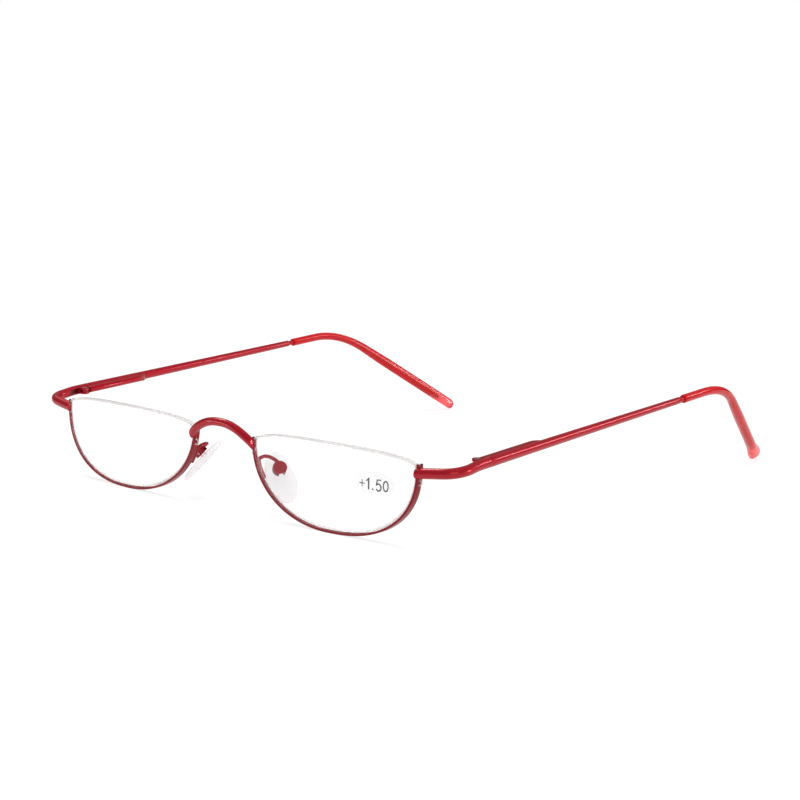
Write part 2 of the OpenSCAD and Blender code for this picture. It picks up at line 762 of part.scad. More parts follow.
// Wire arm: brazed along the back of the rim, then looped back to the pad box
module pad_arm(right) {
    back = rim_depth + arm_d / 2;
    foot = [for (t = [151, 157, 163]) on_face(outline(t), back)];
    arm_end = from_pad([box_floor + pad_box_h - arm_d / 2, 0, box_up + pad_box_d / 2 + arm_d * 0.1]);
    over_foot = foot[2] + 0.3 * (foot[2] - foot[0]);
    loop_top = over_foot + [0.1, 2, 0.1];
    over_box = loop_top + 0.8 * (loop_top - over_foot);
    path = concat([foot[0], foot[1]], bend(foot[2], over_foot, loop_top, 6), bend(loop_top, over_box, arm_end, 6));
    color(metal)
        side(right)
            bar(path, arm_d, 10, [1, 1, 0]);
}

rim(false);  // rim_left
rim(true);  // rim_right
bridge();
end_piece(false);  // end_piece_left
end_piece(true);  // end_piece_right
lens(false);  // lens_left
lens(true);  // lens_right
liner(false);  // liner_left
liner(true);  // liner_right
cord(false);  // cord_left
cord(true);  // cord_right
pad_arm(false);  // pad_arm_left
pad_arm(true);  // pad_arm_right
pad_box(false);  // pad_box_left
pad_box(true);  // pad_box_right
pad_screw(false);  // pad_screw_left
pad_screw(true);  // pad_screw_right
nose_pad(false);  // nose_pad_left
nose_pad(true);  // nose_pad_right
hinge_fork(false);  // hinge_fork_left
hinge_fork(true);  // hinge_fork_right
hinge_screw(false);  // hinge_screw_left
hinge_screw(true);  // hinge_screw_right
slider(false);  // slider_left
slider(true);  // slider_right
slider_nut(false);  // slider_nut_left
slider_nut(true);  // slider_nut_right
spring(false);  // spring_left
spring(true);  // spring_right
bush(false);  // bush_left
bush(true);  // bush_right
spring_box(false);  // spring_box_left
spring_box(true);  // spring_box_right
temple_tube(false);  // temple_tube_left
temple_tube(true);  // temple_tube_right
core_wire(false);  // core_wire_left
core_wire(true);  // core_wire_right
temple_tip(false);  // temple_tip_left
temple_tip(true);  // temple_tip_right
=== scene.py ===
import math

import bmesh
import bpy
from mathutils import Matrix, Vector


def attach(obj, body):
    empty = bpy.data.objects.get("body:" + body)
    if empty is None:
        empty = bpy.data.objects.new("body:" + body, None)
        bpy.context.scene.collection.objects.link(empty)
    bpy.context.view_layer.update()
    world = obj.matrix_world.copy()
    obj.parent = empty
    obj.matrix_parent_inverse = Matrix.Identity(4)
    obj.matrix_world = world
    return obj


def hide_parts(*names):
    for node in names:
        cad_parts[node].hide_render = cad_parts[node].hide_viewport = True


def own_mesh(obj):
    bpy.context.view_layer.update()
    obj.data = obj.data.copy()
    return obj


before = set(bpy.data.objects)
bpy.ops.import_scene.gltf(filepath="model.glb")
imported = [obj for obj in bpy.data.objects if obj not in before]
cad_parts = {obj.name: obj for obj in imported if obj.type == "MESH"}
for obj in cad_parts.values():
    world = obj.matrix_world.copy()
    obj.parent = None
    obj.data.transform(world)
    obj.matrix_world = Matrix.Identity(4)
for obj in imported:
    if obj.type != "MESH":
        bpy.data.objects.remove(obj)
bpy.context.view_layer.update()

MM = 0.001

# Rims. All sizes are in millimetres and degrees, except where a comment says metres.
RIM_W = 48.2
NOSE_GAP = 19.7
RIM_DROP = 17.8
RIM_T = 0.55
RIM_DEPTH = 1.7
TEMPLE_POWER = 2.4
NOSE_POWER = 2.1
RIM_END_TEMPLE = 0.7
RIM_END_NOSE = 0.5
RIM_ROUND = 0.09
CHANNEL_W = 0.8
CHANNEL_DEPTH = 0.2
WRAP_ANGLE = 2.5
BASE_R = 285
SLOT_DEPTH = 0.55
SLOT_SPARE = 0.05

# Lenses
LENS_RISE = 2.4
TOP_POWER = 2.6
LENS_T = 2.1
LENS_BULGE = 0.6
SEAT_GAP = 0.15
GROOVE_W = 0.6
GROOVE_DEPTH = 0.5
BEVEL = 0.25
CORD_D = 0.5
CORD_HOLE_LOW = 4
CORD_HOLE_STEP = 1.2
CORD_LOOP = 0.55
CORD_TURN = 0.4
LINER_ROUND = 0.08

# Bridge and end pieces. Sweep and bow are powers, for the arch from above and from the front.
BRIDGE_D = 2.0
BRIDGE_ARCH = 4.05
BRIDGE_LOW = 1.2
BRIDGE_REACH = 0.95
BRIDGE_FRONT = 0.2
LAP_OVER = 0.1
LAP_GAP = 0.04
BRIDGE_SWEEP = 4
BRIDGE_BOW = 2.25
BRIDGE_EDGE = 0.14
ROD_D = 2.4
ROD_LOW = 1.3
ROD_BACK = 0.5
CORNER_BACK = 9.2
BEND_LEG = 4.2
CORNER_DIP = 0.5
LEVEL_BEFORE = 0.1
BLEND_BEFORE = 1.7
ROD_EDGE = 0.12

# Hinges
HINGE_OUT = 7.3
HINGE_BACK = 13.4
HINGE_UP = 0.8
HINGE_OFFSET = 2.3
FOOT_LEN = 4.4
FOOT_H = 1.3
FOOT_T = 0.3
FOOT_SINK = 0.4
EAR_R = 1.05
JOINT_Y = 1.35
JOINT_GAP = 0.12
FIT_GAP = 0.03
CHAMBER_D = 1.16
BUSH_AT = 1.4
BUSH_LEN = 1.4
SLIDE_D = 0.56
SLIDER_LEN = 13.2
NUT_LEN = 0.9
SPRING_WIRE_D = 0.16
SPRING_TURNS = 10

# Temples
TEMPLE_D_FRONT = 2.4
TEMPLE_D_REAR = 1.66
TEMPLE_LEN = 75.8
TOE_IN = 0.8
CORE_D = 1.2
CORE_GRIP = 9
CORE_BARE = 1.6
CORE_EDGE = 0.1
TIP_D = 2.1
TIP_END_D = 2.9
TIP_LEAD = 9.3
TIP_BEND_R = 27
TIP_BEND = 40
TIP_LEAN = 25
TIP_TAIL = 35.2
TIP_SOLID = 7
TIP_EDGE = 0.16
LEG_ACROSS = 1.45
LEG_ALONG = 1.3
END_ACROSS = 1.35
END_ALONG = 1.95
FLARE_LEN = 8
FLARE_CAP = 1.2
TIP_SET_BACK = 0.69
RIGHT_TWIST = 35

# Nose pads. Full and edge power round them off, seen from the back and along them.
PAD_LEN = 13.5
PAD_W = 7
PAD_T = 1.7
PAD_OUT = 13.55
PAD_BACK = 6.35
PAD_LOW = 9.2
PAD_FLARE = 42
PAD_SPLAY = 36
PAD_ROLL = 11.5
BOX_UP = 1.3
PAD_BOX_D = 3.3
PAD_BOX_H = 1.5
PAD_GAP = 0.3
PAD_SCREW_D = 0.6
ARM_D = 0.85
ARM_FOOT_AT = (151, 157, 163)
ARM_TOP = (0.1, 2, 0.1)
ARM_LEAD_FOOT = 0.3
ARM_LEAD_BOX = 0.8
PAD_FULL = 0.42
PAD_EDGE_POWER = 2.5
PAD_DROP = 0.14
LUG_W = 1.1
LUG_WALL = 0.24
LUG_OUT = 0.6
LUG_ROOT = 0.3
LUG_EDGE = 0.08

# Mark on the left lens: middle and size of its film, and widths of the figures' strokes
MARK_AT = (47.5, 13.4)
MARK_SIZE = (10.8, 5.4)
SIGN_W = 0.2
FLAG_W = 0.28
CURVE_W = 0.32
STEM_W = 0.36

# Angles above which an edge stays sharp or is softened, in degrees
SHARP = 40
LENS_SHARP = 25
CUT_SHARP = 50
NODE_SHARP = 35

# Soft edges of the frame's own solids, in metres
NODE_EDGE = 0.00006
SMALL_EDGE = 0.00002
WELD = 0.000002

# Places in the lens's list of materials
LOWER_EDGE = 1
UPPER_EDGE = 2
LOWER_GROOVE = 3

# Camera, solved from the outline of both halves in the photo
CAMERA_AZIMUTH = 41.426
CAMERA_ELEVATION = 9.503
CAMERA_ROLL = 0.951
CAMERA_AT = Vector((343.563, -327.291, 105.781))
FOCAL = 93.08
SENSOR = 36

# Brightness of the surroundings, above and low down, and of the floor where it is seen. The floor
# turns white between two distances from the object, in metres.
DOME = 0.3
HORIZON = 0.05
FLOOR_SHADE = 0.25
FLOOR_GLOW = 0.79
FLOOR_NEAR = 0.12
FLOOR_FAR = 0.5
FLOOR_SIZE = 20

# Softboxes: direction from the object, distance and size in metres, brightness, and whether metal
# mirrors it. The overhead one isn't mirrored, so that the wires' top edges stay dark.
SOFTBOXES = {
    "overhead": ((0, 0, 1), 1.3, (0.8, 0.8), 5.5, False),
    "right_strip": ((0.54, 0.74, 0.41), 1.4, (0.5, 0.1), 22, True),
    "left_strip": ((-0.65, 0.15, 0.74), 1.4, (0.5, 0.26), 9, True),
    "front_strip": ((-0.66, -0.74, 0.07), 1.4, (0.5, 0.12), 14, True),
    "side_panel": ((0.92, 0.38, 0.14), 1.4, (0.3, 0.3), 18, True),
    "fill": ((0.652, -0.739, 0.3), 1.6, (1.0, 0.8), 2.2, True),
}

# Values worked out from them, as in the frame
EYE_X = (NOSE_GAP + RIM_W) / 2
WIDE_Z = RIM_T / 2 + RIM_DROP
CURVE_Z = 0.55 * WIDE_Z
LENS_INSET = RIM_T / 2 + SEAT_GAP
OUTLINE_RISE = LENS_RISE + LENS_INSET
LENS_MID = (EYE_X, WIDE_Z - 0.4 * RIM_DROP)
ALL_HEIGHT = (0, WIDE_Z * 2)
RIM_MID_Y = RIM_DEPTH / 2
LENS_FRONT = (RIM_DEPTH - LENS_T) / 2
RIM_TEMPLE_X = EYE_X + RIM_W / 2
RIM_NOSE_X = EYE_X - RIM_W / 2
SCREW_AT = Vector((RIM_TEMPLE_X + HINGE_OUT, HINGE_BACK, WIDE_Z + HINGE_UP))
MOUTH_Y = TEMPLE_LEN + CORE_BARE
BEND_LEN = TIP_BEND_R * math.radians(TIP_BEND)
TIP_LEN = TIP_LEAD + BEND_LEN + TIP_TAIL + TIP_END_D / 2


def cosd(a):
    return math.cos(math.radians(a))


def sind(a):
    return math.sin(math.radians(a))


def temple_rise():
    """Angle that puts the tip ends on the surface, with the reach and drop of the tip's end"""
    drop = (TIP_BEND_R * (1 - cosd(TIP_BEND)) + TIP_TAIL * sind(TIP_BEND)) * cosd(TIP_LEAN)
    reach = MOUTH_Y + TIP_LEAD + TIP_BEND_R * sind(TIP_BEND) + TIP_TAIL * cosd(TIP_BEND)
    low = math.asin((TIP_END_D / 2 - SCREW_AT.z) / math.hypot(reach, drop))
    return math.degrees(low + math.atan2(drop, reach)), reach, drop


RISE, TIP_REACH, TIP_DROP = temple_rise()


def swell(v, p):
    return math.copysign(abs(v) ** (2 / p), v)


def outline(t):
    """Front view of the eye's outline: 0 is the temple side, 90 the bottom, 270 the top"""
    c = cosd(t)
    s = sind(t)
    power = TOP_POWER if s < 0 else TEMPLE_POWER if c > 0 else NOSE_POWER
    height = OUTLINE_RISE if s < 0 else RIM_DROP
    return EYE_X + RIM_W / 2 * swell(c, power), WIDE_Z - height * swell(s, power)


def face_y(x, z):
    """Depth of the rim's front over a point of the front view"""
    out = x - EYE_X
    wrap = math.tan(math.radians(WRAP_ANGLE)) * out
    return wrap + (out ** 2 + (z - CURVE_Z) ** 2) / (2 * BASE_R)


def on_face(q, depth):
    return Vector((q[0], face_y(q[0], q[1]) + depth, q[1]))


def outline_run(t0, t1, count):
    """Evenly spaced points of the outline, each with its outward direction in the front view"""
    fine = 4000
    raw = [outline(t0 + (t1 - t0) * i / fine) for i in range(fine + 1)]
    far = [0.0]
    for a, b in zip(raw, raw[1:]):
        far.append(far[-1] + math.dist(a, b))
    run = []
    k = 0
    for i in range(count + 1):
        want = far[-1] * i / count
        while k < fine - 1 and far[k + 1] < want:
            k += 1
        u = (want - far[k]) / max(far[k + 1] - far[k], 1e-12)
        run.append(tuple(raw[k][n] + u * (raw[k + 1][n] - raw[k][n]) for n in (0, 1)))
    out = []
    for i, p in enumerate(run):
        a = run[max(i - 1, 0)]
        b = run[min(i + 1, count)]
        d = math.dist(a, b)
        out.append((p, (-(b[1] - a[1]) / d, (b[0] - a[0]) / d)))
    return out


def shifted(p, n, d):
    return p[0] + d * n[0], p[1] + d * n[1]


BRIDGE_END_Y = face_y(RIM_NOSE_X, WIDE_Z - BRIDGE_LOW) - BRIDGE_FRONT
FRONT_MOST = BRIDGE_END_Y - BRIDGE_REACH - BRIDGE_D / 2
REAR_MOST = SCREW_AT.y + TIP_REACH * cosd(RISE) + TIP_DROP * sind(RISE) + TIP_END_D / 2
MID_Y = (FRONT_MOST + REAR_MOST) / 2


def from_hinge(p):
    """Point of the left hinge's own frame: x outwards, y along the temple, z along the screw"""
    rise = Matrix.Rotation(math.radians(RISE), 3, "X")
    return SCREW_AT + rise @ Matrix.Rotation(math.radians(TOE_IN), 3, "Z") @ Vector(p)


def curve3(a, b, c, steps):
    """Points of the quadratic curve from a to c that leaves and arrives towards b"""
    run = [i / steps for i in range(steps + 1)]
    return [(1 - t) ** 2 * Vector(a) + 2 * t * (1 - t) * Vector(b) + t * t * Vector(c) for t in run]


def resampled(path, step):
    """The same line with a point every step or so"""
    out = [path[0]]
    for a, b in zip(path, path[1:]):
        n = max(1, round((b - a).length / step))
        out += [a.lerp(b, (i + 1) / n) for i in range(n)]
    return out


def eased(path, times):
    """A line whose small kinks are rounded, with the ends kept"""
    for _ in range(times):
        inner = [(a + 2 * b + c) / 4 for a, b, c in zip(path, path[1:], path[2:])]
        path = [path[0]] + inner + [path[-1]]
    return path


def rings_along(path, radii, sides, flat=Vector((0, 0, 1))):
    """Round rings square to a line"""
    rings = []
    last = len(path) - 1
    u = None
    for i, p in enumerate(path):
        way = (path[min(i + 1, last)] - path[max(i - 1, 0)]).normalized()
        if u is None:
            u = way.cross(flat).normalized()
        u = (u - u.dot(way) * way).normalized()
        v = way.cross(u)
        turns = [2 * math.pi * (k + 0.5) / sides for k in range(sides)]
        rings.append([p + radii[i] * (math.cos(a) * u + math.sin(a) * v) for a in turns])
    return rings


def eased_ends(path, r, edge, both):
    """Path and radii of a round bar whose end edges are rounded by a small radius"""
    path = list(path)
    radii = [r] * len(path)
    for side in (0, 1):
        if not both[side]:
            continue
        path.reverse()
        radii.reverse()
        end = path[-1]
        back = (path[-2] - end).normalized()
        clear = [(p - end).dot(back) > edge * 1.01 for p in path]
        keep = [i for i in range(len(path)) if clear[i] or i < len(path) // 2]
        path = [path[i] for i in keep]
        radii = [radii[i] for i in keep]
        for a in (0, 30, 60, 90):
            path.append(end + back * edge * (1 - sind(a)))
            radii.append(r - edge * (1 - cosd(a)))
    return path, radii


def mesh_of(name, verts, faces, sharp=SHARP):
    """Mesh in metres of points in millimetres in the drawing's own place"""
    mesh = bpy.data.meshes.new(name)
    mesh.from_pydata([(MM * v[0], MM * (v[1] - MID_Y), MM * v[2]) for v in verts], [], faces)
    bm = bmesh.new()
    bm.from_mesh(mesh)
    bmesh.ops.remove_doubles(bm, verts=bm.verts, dist=1e-8)
    bmesh.ops.recalc_face_normals(bm, faces=bm.faces)
    bm.to_mesh(mesh)
    bm.free()
    mesh.shade_smooth()
    mesh.set_sharp_from_angle(angle=math.radians(sharp))
    return mesh


def skin(name, rings, sharp=SHARP):
    """Closed mesh through rings of points, with a face on each end"""
    n = len(rings[0])
    last = n * (len(rings) - 1)
    faces = []
    for i in range(0, last, n):
        for j in range(n):
            k = (j + 1) % n
            faces.append((i + j, i + k, i + n + k, i + n + j))
    faces.append(tuple(reversed(range(n))))
    faces.append(tuple(range(last, last + n)))
    return mesh_of(name, [p for ring in rings for p in ring], faces, sharp)


def tube(name, path, d, sides, edge=0.0, ends=(True, True)):
    """Round bar along a line, with soft end edges where one is given"""
    radii = [d / 2] * len(path)
    if edge:
        path, radii = eased_ends(path, d / 2, edge, ends)
    return skin(name, rings_along(path, radii, sides))


def circle(sides):
    return [2 * math.pi * k / sides for k in range(sides)]


BOX_FACES = [(0, 1, 3, 2), (4, 6, 7, 5), (0, 4, 5, 1), (2, 3, 7, 6), (0, 2, 6, 4), (1, 5, 7, 3)]


def box_mesh(name, x, y, z, place=Vector):
    """Box between two bounds on each axis"""
    return mesh_of(name, [place((a, b, c)) for a in x for b in y for c in z], BOX_FACES)


def rod_mesh(name, a, b, d):
    """Straight rod that cuts a hole"""
    flat = Vector((0.3, 0.5, 0.8))
    return skin(name, rings_along([Vector(a), Vector(b)], [d / 2, d / 2], 32, flat))


def carved(mesh, cutters, edge=0.0):
    """A mesh with others cut out of it, and the new edges softened"""
    scene = bpy.context.scene.collection
    obj = bpy.data.objects.new("work", mesh)
    scene.objects.link(obj)
    tools = []
    for c in cutters:
        tool = bpy.data.objects.new("cutter", c)
        scene.objects.link(tool)
        tools.append(tool)
        cut = obj.modifiers.new("cut", "BOOLEAN")
        cut.operation = "DIFFERENCE"
        cut.solver = "EXACT"
        cut.object = tool
    if edge:
        soft = obj.modifiers.new("edge", "BEVEL")
        soft.width = edge * MM
        soft.segments = 2
        soft.limit_method = "ANGLE"
        soft.angle_limit = math.radians(CUT_SHARP)
        soft.use_clamp_overlap = True
    graph = bpy.context.evaluated_depsgraph_get()
    made = bpy.data.meshes.new_from_object(obj.evaluated_get(graph))
    for work in [obj] + tools:
        bpy.data.objects.remove(work)
    made.shade_smooth()
    made.set_sharp_from_angle(angle=math.radians(SHARP))
    return made


# Materials. Each one is a node tree of its own, in metres on the object.
class Tree:
    """The nodes of a material or the world, each made and linked in one call"""

    def __init__(self, owner, output="ShaderNodeOutputMaterial"):
        owner.use_nodes = True
        owner.node_tree.nodes.clear()
        self.owner = owner
        self.out = self.add(output)

    def feed(self, socket, value):
        """Links another node's socket, or else sets the value on this socket"""
        if isinstance(value, bpy.types.NodeSocket):
            self.owner.node_tree.links.new(value, socket)
        else:
            socket.default_value = value

    def add(self, kind, *firsts, **named):
        """A node with its first inputs in their order, and others by name with _ for a space"""
        node = self.owner.node_tree.nodes.new(kind)
        for socket, value in zip(node.inputs, firsts):
            self.feed(socket, value)
        for name, value in named.items():
            self.feed(node.inputs[name.replace("_", " ")], value)
        return node

    def get(self, kind, *firsts, **named):
        """The first output of a new node"""
        return self.add(kind, *firsts, **named).outputs[0]

    def end(self, shader):
        self.feed(self.out.inputs["Surface"], shader)
        return self.owner

    def end_clear(self, shader, tint):
        """Lets light through for shadows and indirect light, as clear plastic does"""
        clear = self.get("ShaderNodeBsdfTransparent", tint)
        return self.end(self.mix(self.rays("Is Shadow Ray", "Is Diffuse Ray"), shader, clear))

    def mix(self, share, first, second):
        return self.get("ShaderNodeMixShader", share, first, second)

    def maths(self, operation, first, second):
        node = self.add("ShaderNodeMath", first, second)
        node.operation = operation
        return node.outputs["Value"]

    def rays(self, *kinds):
        """One where the ray is any of these kinds"""
        path = self.add("ShaderNodeLightPath")
        total = path.outputs[kinds[0]]
        for kind in kinds[1:]:
            total = self.maths("MAXIMUM", total, path.outputs[kind])
        return total

    def coord(self, kind):
        return self.add("ShaderNodeTexCoord").outputs[kind]

    def part_of(self, vector, axis):
        return self.add("ShaderNodeSeparateXYZ", vector).outputs[axis]

    def noise(self, scale, detail=2.0, stretch=(1, 1, 1)):
        """Noise on the object's own coordinates"""
        place = self.get("ShaderNodeMapping", self.coord("Object"), Scale=stretch)
        node = self.add("ShaderNodeTexNoise", Vector=place, Scale=scale, Detail=detail)
        return node.outputs["Fac"]

    def ramp(self, source, low, high, start=0.3, end=0.7):
        """From a low colour or grey to a high one"""
        node = self.add("ShaderNodeValToRGB", source)
        for stop, at, tone in zip(node.color_ramp.elements, (start, end), (low, high)):
            stop.position = at
            stop.color = (*tone, 1) if hasattr(tone, "__len__") else (tone, tone, tone, 1)
        return node.outputs["Color"]

    def span(self, value, **ends):
        return self.get("ShaderNodeMapRange", value, **ends)

    def bump(self, height, distance, strength):
        return self.get("ShaderNodeBump", Height=height, Distance=distance, Strength=strength)

    def blend(self, share, first, second):
        """Between two colours"""
        node = self.add("ShaderNodeMix")
        node.data_type = "RGBA"
        for name, value in (("Factor", share), ("A", first), ("B", second)):
            self.feed(node.inputs[name], value)
        return node.outputs["Result"]


def material(name):
    return Tree(bpy.data.materials.new(name))


def lacquer(name, pale, deep, seat_shade=False):
    """Red lacquer over metal, with fine flakes, a slight orange peel and a clear gloss"""
    tree = material(name)
    colour = tree.ramp(tree.noise(9000, 1.0), deep, pale)
    # With seat_shade, painted shade darkens the hinge fork's foot in the rod's seat
    if seat_shade:
        colour = paint_seat_shade(tree, colour)
    peel = tree.bump(tree.noise(1500), 0.00002, 0.1)
    return tree.end(tree.get(
        "ShaderNodeBsdfPrincipled",
        Base_Color=colour,
        Metallic=0.35,
        Roughness=tree.ramp(tree.noise(900, 4.0), 0.3, 0.42),
        Normal=peel,
        Specular_Tint=(0.5, 0.05, 0.08, 1),
        Coat_Weight=0.45,
        Coat_Roughness=0.035,
        Coat_IOR=1.45,
        Coat_Normal=peel,
    ))


def paint_seat_shade(tree, colour):
    """The lacquer on the hinge fork, with painted shade: nearly black over the part of its foot
    that is brazed in the rod's seat
    """
    ears = MM * (SCREW_AT.y - MID_Y - EAR_R)
    back = tree.part_of(tree.coord("Object"), "Y")
    reach = tree.span(back, From_Min=ears - MM * FOOT_LEN, From_Max=ears)
    # Painted shade: share of the lacquer's own colour, none over the rear of the foot in the seat
    unshaded_share = tree.ramp(reach, 1, 0, 0.35, 0.55)
    stops = unshaded_share.node.color_ramp.elements
    stops.new(0.94).color = (0, 0, 0, 1)
    stops.new(1.0).color = (1, 1, 1, 1)
    return tree.blend(unshaded_share, (0.07, 0.003, 0.002, 1), colour)


def bright_steel():
    """Drawn steel: fine lines along the wire and small changes of gloss"""
    tree = material("drawn_steel")
    lines = tree.noise(6000, 3.0, (1, 0.05, 1))
    return tree.end(tree.get(
        "ShaderNodeBsdfPrincipled",
        Base_Color=tree.ramp(lines, (0.55, 0.54, 0.53), (0.74, 0.73, 0.72)),
        Metallic=1.0,
        Roughness=tree.ramp(lines, 0.2, 0.38),
        Normal=tree.bump(lines, 0.00001, 0.3),
    ))


def clear_film(name, open_share, colour, rough, gloss=1.45, thick=0.0, through=0.5):
    """Thin clear plastic: light goes straight on or is scattered, and its outside has a gloss"""
    tree = material(name)
    smear = tree.noise(500, 1.0)
    shade = tree.ramp(smear, tuple(0.94 * c for c in colour), colour)
    cover = 1 - open_share
    if thick:
        slant = tree.add("ShaderNodeLayerWeight").outputs["Facing"]
        cover = tree.span(slant, To_Min=cover, To_Max=thick)
    front = tree.get("ShaderNodeBsdfDiffuse", shade)
    behind = tree.get("ShaderNodeBsdfTranslucent", shade)
    haze = tree.mix(through, front, behind)
    body = tree.mix(cover, tree.get("ShaderNodeBsdfTransparent"), haze)
    shine = tree.get(
        "ShaderNodeBsdfGlossy",
        Roughness=tree.ramp(smear, rough * 0.85, rough * 1.15),
        Normal=tree.bump(smear, 0.000005, 0.2),
    )
    inside = tree.add("ShaderNodeNewGeometry").outputs["Backfacing"]
    sheen = tree.get("ShaderNodeFresnel", IOR=gloss)
    sheen = tree.maths("MULTIPLY", tree.maths("SUBTRACT", 1, inside), sheen)
    return tree.end(tree.mix(sheen, body, shine))


def clear_solid(name, bend, rough, colour):
    """Solid clear plastic with true refraction and faint waves"""
    tree = material(name)
    smear = tree.noise(300, 3.0)
    solid = tree.get(
        "ShaderNodeBsdfPrincipled",
        Base_Color=tree.ramp(smear, tuple(0.99 * c for c in colour), colour),
        Roughness=tree.ramp(smear, rough * 0.6, rough * 1.4),
        IOR=bend,
        Transmission_Weight=1.0,
    )
    return tree.end_clear(solid, (0.95, 0.95, 0.95, 1))


def red_plastic():
    """Clear red plastic of the tips: deep over the core wire; low down, at the solid end, a painted
    glow makes its colour bright, and it lets more light through there
    """
    tree = material("clear_red_plastic")
    shade = tree.ramp(tree.noise(350, 4.0), (0.62, 0.010, 0.014), (0.74, 0.018, 0.024))
    # Painted glow: below 6 mm height the colour turns brighter, fully at 2.5 mm, standing in for
    # light through the solid end
    height = tree.part_of(tree.coord("Object"), "Z")
    low = tree.span(height, From_Min=MM * 2.5, From_Max=MM * 6.0, To_Min=1.0, To_Max=0.0)
    low.node.interpolation_type = "SMOOTHSTEP"
    waves = tree.noise(250, 0.0)
    solid = tree.get(
        "ShaderNodeBsdfPrincipled",
        Base_Color=tree.blend(low, shade, (1.0, 0.14, 0.15, 1)),
        Roughness=tree.ramp(waves, 0.14, 0.18),
        IOR=1.42,
        Normal=tree.bump(waves, 0.00002, 0.1),
        Specular_IOR_Level=0.2,
        Transmission_Weight=tree.span(low, To_Min=0.4, To_Max=0.85),
    )
    return tree.end_clear(solid, (0.8, 0.25, 0.25, 1))


def ink():
    """Dark grey print with slightly uneven cover"""
    tree = material("printed_ink")
    shade = tree.ramp(tree.noise(4000, 3.0), (0.07, 0.075, 0.075), (0.11, 0.115, 0.115))
    return tree.end(tree.get("ShaderNodeBsdfPrincipled", Base_Color=shade, Roughness=0.6))


def floor_material():
    """Pale floor, lifted to white where it is seen, with the shadows kept"""
    tree = material("pale_floor")
    plain = tree.get("ShaderNodeBsdfDiffuse", (0.8, 0.8, 0.8, 1))
    shaded = tree.get("ShaderNodeBsdfDiffuse", (FLOOR_SHADE, FLOOR_SHADE, FLOOR_SHADE, 1))
    glow = tree.get("ShaderNodeEmission", Strength=FLOOR_GLOW)
    lifted = tree.get("ShaderNodeAddShader", shaded, glow)
    away = tree.add("ShaderNodeVectorMath", tree.coord("Object"))
    away.operation = "LENGTH"
    fade = tree.span(away.outputs["Value"], From_Min=FLOOR_NEAR, From_Max=FLOOR_FAR)
    fade.node.interpolation_type = "SMOOTHSTEP"
    sweep = tree.mix(fade, lifted, tree.get("ShaderNodeEmission"))
    seen = tree.rays("Is Camera Ray", "Is Glossy Ray", "Is Transmission Ray")
    return tree.end(tree.mix(seen, plain, sweep))


RED = (0.45, 0.011, 0.023)
DEEP_RED = (0.37, 0.007, 0.016)
LACQUER = lacquer("red_lacquer", RED, DEEP_RED)
# The fork's lacquer carries painted shade over its foot in the rod's seat
FORK_LACQUER = lacquer("red_lacquer_fork", RED, DEEP_RED, seat_shade=True)
# Painted shade: a darker copy of the same red lacquer, for the pad arms and pad boxes
PAD_LACQUER_SHADED = lacquer("red_lacquer_pads_painted_shade", (0.33, 0.008, 0.016), (0.26, 0.005, 0.011))
# Painted shade: a darker copy of the same red lacquer, for the rims
RIM_LACQUER_SHADED = lacquer("red_lacquer_rims_painted_shade", (0.25, 0.007, 0.013), (0.2, 0.005, 0.01))
STEEL = bright_steel()
LENS = clear_solid("lens_plastic", 1.25, 0.003, (0.995, 1.0, 0.998))
# Painted reflection: the pink tint of the ground edge (faint), of the lens groove and of the liner
# stands for the red rim's light in the lens edge; the edge's frosting is real
GROUND = clear_film("ground_edge", 0.95, (1.0, 0.9, 0.9), 0.35, through=0.15)
BEVEL_FILM = clear_film("lens_bevel", 0.35, (0.97, 0.95, 0.94), 0.3, through=0.3)
PINK_REFLECTION_FILM = clear_film("lens_groove_painted_reflection", 0.85, (0.98, 0.6, 0.62), 0.3, through=0.15)
LINER = clear_film("clear_liner", 0.94, (0.98, 0.8, 0.8), 0.12, through=0.3)
NYLON = clear_film("clear_nylon", 0.7, (0.97, 0.94, 0.93), 0.12, through=0.3)
SILICONE = clear_film("soft_clear_plastic", 0.73, (0.95, 0.91, 0.93), 0.12, 1.3, thick=0.8)
FILM = clear_film("printed_film", 0.85, (0.97, 0.97, 0.97), 0.3, 1.1)
RED_PLASTIC = red_plastic()
INK = ink()


def piece(name, mesh, materials, body, node, mirrored=False):
    """One visible piece: it rides on its body and stands for its node"""
    mesh = mesh.copy()
    if mirrored:
        mesh.transform(Matrix.Diagonal((-1, 1, 1, 1)))
        mesh.flip_normals()
    mesh.name = name
    mesh.materials.clear()
    for m in materials:
        mesh.materials.append(m)
    obj = bpy.data.objects.new(name, mesh)
    bpy.context.scene.collection.objects.link(obj)
    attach(obj, body)
    if node:
        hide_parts(node)
    return obj


def pair(name, mesh, materials, body, stands=True):
    """A piece on the left and its mirror image on the right"""
    made = []
    for side, mirrored in (("left", False), ("right", True)):
        on = body if body == "front" else f"{body}_{side}"
        node = f"{name}_{side}" if stands else None
        made.append(piece(f"{name}_{side}.look", mesh, materials, on, node, mirrored))
    return made


def rounded(corners, radius, steps=3):
    """A polygon with each corner rounded"""
    out = []
    n = len(corners)
    for i, c in enumerate(corners):
        here = Vector(c)
        back = (Vector(corners[i - 1]) - here)
        on = (Vector(corners[(i + 1) % n]) - here)
        r = min(radius, 0.45 * back.length, 0.45 * on.length)
        a = here + r * back.normalized()
        b = here + r * on.normalized()
        for k in range(steps + 1):
            t = k / steps
            out.append((1 - t) ** 2 * a + 2 * t * (1 - t) * here + t * t * b)
    return out


